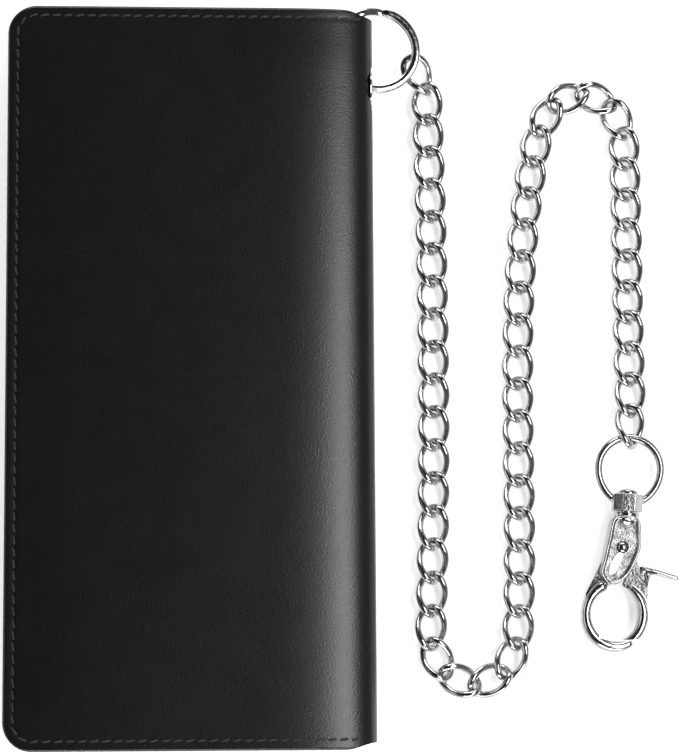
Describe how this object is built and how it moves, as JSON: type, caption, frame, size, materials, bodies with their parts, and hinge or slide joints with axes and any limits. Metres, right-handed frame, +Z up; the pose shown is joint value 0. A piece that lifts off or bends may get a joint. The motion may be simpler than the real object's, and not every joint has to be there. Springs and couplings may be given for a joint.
{
  "type": "chain wallet",
  "caption": "Long folding leather wallet with bill, card and zipped coin pockets, a spine eyelet, a split ring, a curb chain and a swivel trigger clasp.",
  "frame": {"origin": "middle of the back cover's outer face", "axes": "+X across the wallet towards the spine and chain, +Y along the wallet towards the eyelet end, +Z up out of the back cover"},
  "size_m": [0.1744, 0.1944, 0.0186],
  "materials": {
    "outer_leather": "smooth black leather, soft sheen, fine grain",
    "lining_fabric": "black twill lining",
    "pocket_leather": "thin black leather, matte",
    "zip_tape": "black woven tape",
    "zip_metal": "nickel plated, bright",
    "eyelet_metal": "nickel plated, pressed",
    "chain_metal": "nickel plated steel wire, polished",
    "clasp_metal": "nickel plated casting, slightly rough in the recesses",
    "spring_steel": "bright spring strip"
  },
  "bodies": {
    "back_half": {"back_cover": "outer_leather", "spine_leather": "outer_leather", "back_lining": "lining_fabric", "back_bill_pocket": "pocket_leather", "card_tier_1": "pocket_leather", "card_tier_2": "pocket_leather", "card_tier_3": "pocket_leather", "card_tier_4": "pocket_leather", "eyelet": "eyelet_metal", "eyelet_washer": "eyelet_metal"},
    "front_half": {"front_cover": "outer_leather", "front_lining": "lining_fabric", "front_bill_pocket": "pocket_leather", "coin_gusset": "pocket_leather", "coin_panel": "pocket_leather", "zip_tape": "zip_tape", "zip_teeth": "zip_metal", "zip_end_stops": "zip_metal"},
    "zip_slider": {"zip_slider": "zip_metal"},
    "zip_pull": {"zip_pull": "zip_metal"},
    "ring": {"split_ring": "chain_metal"},
    "start_link": {"start_link": "chain_metal"},
    "chain_run_1": {"chain_run_1": "chain_metal"},
    "bend_1_link_1": {"bend_1_link_1": "chain_metal"},
    "bend_1_link_2": {"bend_1_link_2": "chain_metal"},
    "bend_1_link_3": {"bend_1_link_3": "chain_metal"},
    "bend_1_link_4": {"bend_1_link_4": "chain_metal"},
    "chain_run_2": {"chain_run_2": "chain_metal"},
    "bend_2_link_1": {"bend_2_link_1": "chain_metal"},
    "bend_2_link_2": {"bend_2_link_2": "chain_metal"},
    "bend_2_link_3": {"bend_2_link_3": "chain_metal"},
    "bend_2_link_4": {"bend_2_link_4": "chain_metal"},
    "chain_run_3": {"chain_run_3": "chain_metal"},
    "end_link": {"end_link": "chain_metal"},
    "swivel_eye": {"swivel_eye": "clasp_metal"},
    "clasp": {"swivel_pin": "clasp_metal", "clasp_body": "clasp_metal", "lever_rivet": "clasp_metal", "lever_spring": "spring_steel"},
    "lever": {"clasp_lever": "clasp_metal"}
  },
  "joints": [
    {"name": "cover_fold", "type": "hinge", "parent": "back_half", "child": "front_half", "pos_m": [0.0455, 0, 0.0153], "axis": [0, -1, 0], "range_deg": [-180, 0]},
    {"name": "zip_slide", "type": "slide", "parent": "front_half", "child": "zip_slider", "axis": [0, -1, 0], "range_m": [0, 0.148]},
    {"name": "zip_pull_swing", "type": "hinge", "parent": "zip_slider", "child": "zip_pull", "pos_m": [0.026, 0.0763, 0.0109], "axis": [1, 0, 0], "range_deg": [0, 20]},
    {"name": "ring_swing", "type": "hinge", "parent": "back_half", "child": "ring", "pos_m": [0.0467, 0.0869, 0.009], "axis": [0, -1, 0], "range_deg": [-6, 10]},
    {"name": "start_link_lift", "type": "hinge", "parent": "ring", "child": "start_link", "pos_m": [0.05921, 0.08571, 0.00769], "axis": [-0.1132, -0.9936, 0], "range_deg": [0, 20]},
    {"name": "run_1_lift", "type": "hinge", "parent": "start_link", "child": "chain_run_1", "pos_m": [0.06243, 0.0783, 0.00231], "axis": [-1, 0, 0], "range_deg": [0, 18]},
    {"name": "bend_1_open_1", "type": "hinge", "parent": "chain_run_1", "child": "bend_1_link_1", "pos_m": [0.062, -0.06923, 0.00231], "axis": [0, 0, 1], "range_deg": [-18, 0]},
    {"name": "bend_1_open_2", "type": "hinge", "parent": "bend_1_link_1", "child": "bend_1_link_2", "pos_m": [0.06563, -0.07686, 0.00231], "axis": [0, 0, 1], "range_deg": [-18, 0]},
    {"name": "bend_1_open_3", "type": "hinge", "parent": "bend_1_link_2", "child": "bend_1_link_3", "pos_m": [0.07338, -0.08023, 0.00231], "axis": [0, 0, 1], "range_deg": [-18, 0]},
    {"name": "bend_1_open_4", "type": "hinge", "parent": "bend_1_link_3", "child": "bend_1_link_4", "pos_m": [0.08113, -0.07686, 0.00231], "axis": [0, 0, 1], "range_deg": [-18, 0]},
    {"name": "run_2_lift", "type": "hinge", "parent": "bend_1_link_4", "child": "chain_run_2", "pos_m": [0.08477, -0.06923, 0.00231], "axis": [1, 0, 0], "range_deg": [0, 18]},
    {"name": "bend_2_open_1", "type": "hinge", "parent": "chain_run_2", "child": "bend_2_link_1", "pos_m": [0.09227, 0.06678, 0.00231], "axis": [0, 0, 1], "range_deg": [0, 18]},
    {"name": "bend_2_open_2", "type": "hinge", "parent": "bend_2_link_1", "child": "bend_2_link_2", "pos_m": [0.09623, 0.07425, 0.00231], "axis": [0, 0, 1], "range_deg": [0, 18]},
    {"name": "bend_2_open_3", "type": "hinge", "parent": "bend_2_link_2", "child": "bend_2_link_3", "pos_m": [0.10407, 0.07741, 0.00231], "axis": [0, 0, 1], "range_deg": [0, 18]},
    {"name": "bend_2_open_4", "type": "hinge", "parent": "bend_2_link_3", "child": "bend_2_link_4", "pos_m": [0.11179, 0.07397, 0.00231], "axis": [0, 0, 1], "range_deg": [0, 18]},
    {"name": "run_3_lift", "type": "hinge", "parent": "bend_2_link_4", "child": "chain_run_3", "pos_m": [0.11509, 0.0662, 0.00231], "axis": [-1, 0, 0], "range_deg": [0, 18]},
    {"name": "end_link_swing", "type": "hinge", "parent": "chain_run_3", "child": "end_link", "pos_m": [0.11552, -0.00805, 0.00231], "axis": [0, 0, 1], "range_deg": [-4, 8]},
    {"name": "clasp_swing", "type": "hinge", "parent": "end_link", "child": "swivel_eye", "pos_m": [0.11552, -0.0154, 0.00331], "axis": [0, 0, 1], "range_deg": [-6, 12]},
    {"name": "clasp_swivel", "type": "hinge", "parent": "swivel_eye", "child": "clasp", "pos_m": [0.11407, -0.03264, 0.0032], "axis": [0.0837, 0.9965, 0], "continuous": true},
    {"name": "lever_press", "type": "hinge", "parent": "clasp", "child": "lever", "pos_m": [0.11234, -0.04429, 0.0032], "axis": [0, 0, -1], "range_deg": [0, 15], "stiffness_Nm_per_rad": 0.05, "springref_deg": -20.05}
  ],
  "couplings": [
    {"joint": "bend_1_open_2", "follows": "bend_1_open_1", "ratio": 1},
    {"joint": "bend_1_open_3", "follows": "bend_1_open_1", "ratio": 1},
    {"joint": "bend_1_open_4", "follows": "bend_1_open_1", "ratio": 1},
    {"joint": "bend_2_open_2", "follows": "bend_2_open_1", "ratio": 1},
    {"joint": "bend_2_open_3", "follows": "bend_2_open_1", "ratio": 1},
    {"joint": "bend_2_open_4", "follows": "bend_2_open_1", "ratio": 1}
  ]
}
